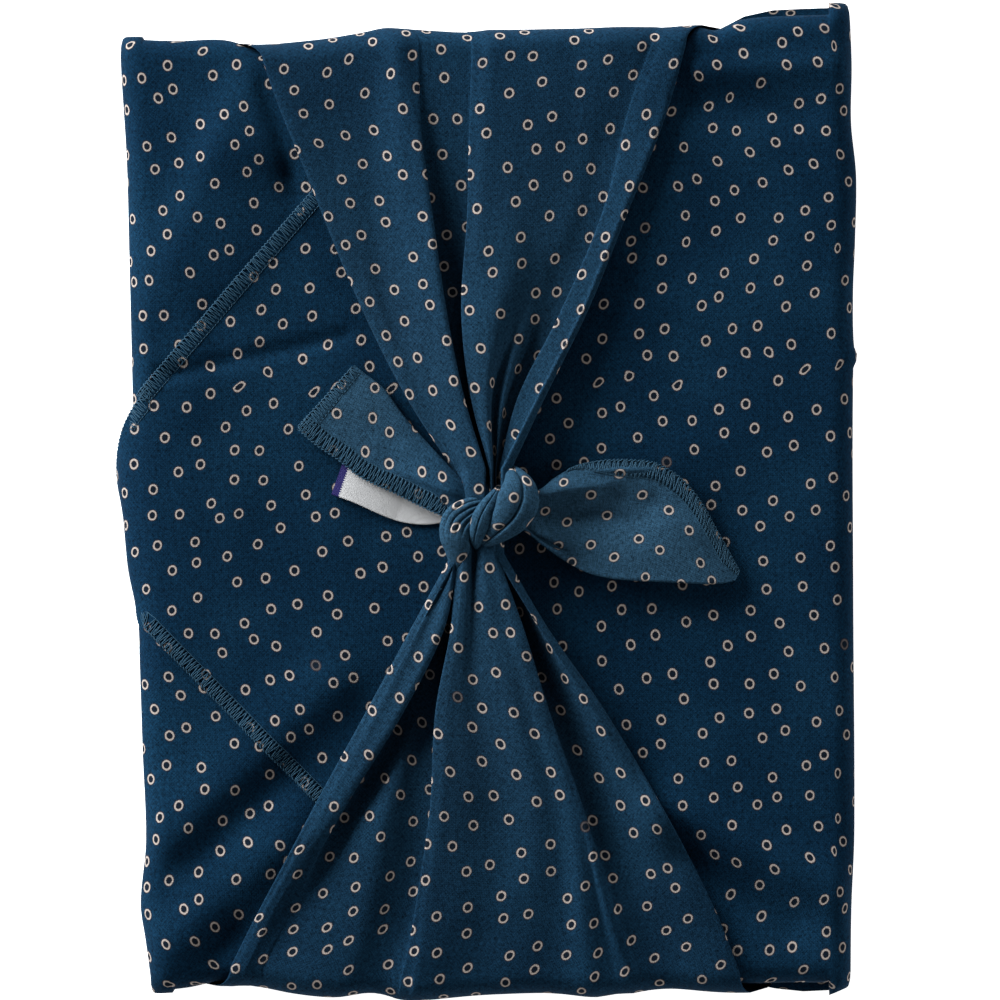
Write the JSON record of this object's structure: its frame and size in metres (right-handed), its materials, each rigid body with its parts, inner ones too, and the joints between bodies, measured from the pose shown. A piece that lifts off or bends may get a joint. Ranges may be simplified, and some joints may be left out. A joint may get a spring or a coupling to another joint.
{
  "type": "furoshiki wrap",
  "caption": "Square printed cotton wrapping cloth folded round a flat parcel shape and knotted on its front, with its contents left out",
  "frame": {"origin": "centre of the wrap's outline on the surface that its back rests on", "axes": "+X to the right and +Y towards the top flap as the knotted front is seen, +Z out of the front"},
  "size_m": [0.262, 0.3516, 0.0413],
  "materials": {
    "printed_cotton": "fine plain-weave cotton in deep petrol navy with small pale rings scattered over it, overlocked edge in a slightly lighter thread",
    "label_satin": "white woven satin label with a navy woven end, no lettering"
  },
  "bodies": {
    "root": {"cloth": "printed_cotton", "woven_label": "label_satin"}
  },
  "joints": []
}
